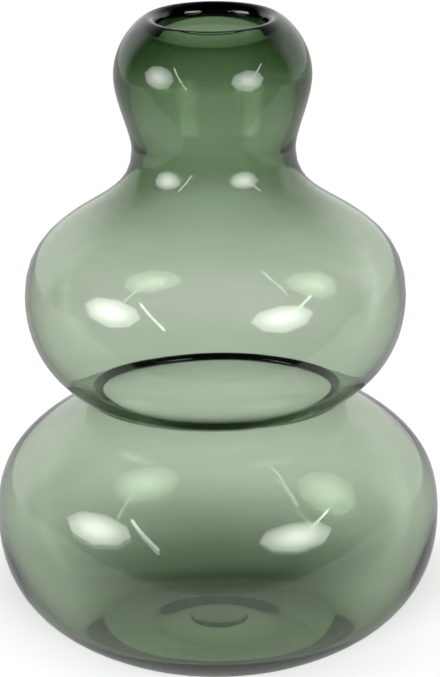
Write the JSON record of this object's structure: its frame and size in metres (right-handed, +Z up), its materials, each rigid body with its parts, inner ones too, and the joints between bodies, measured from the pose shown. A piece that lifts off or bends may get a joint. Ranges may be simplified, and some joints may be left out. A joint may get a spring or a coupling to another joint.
{
  "type": "double gourd vase",
  "caption": "Mouth-blown glass gourd vase: wide lower bulb, pinched waist, middle bulb and a thick-walled top bulb turned in to a rounded mouth, to hold cut flowers.",
  "frame": {"origin": "middle of the standing ring, on the surface that the vase rests on", "axes": "+Z up the axis of the vase, towards the mouth; the glass is round about +Z"},
  "size_m": [0.205, 0.205, 0.3],
  "materials": {
    "green_glass": "clear blown glass, grey-green, fire-polished"
  },
  "bodies": {
    "root": {"base": "green_glass", "lower_bulb": "green_glass", "waist_ring": "green_glass", "middle_bulb": "green_glass", "neck": "green_glass", "top_bulb": "green_glass", "rim": "green_glass", "pontil_seal": "green_glass"}
  },
  "joints": []
}
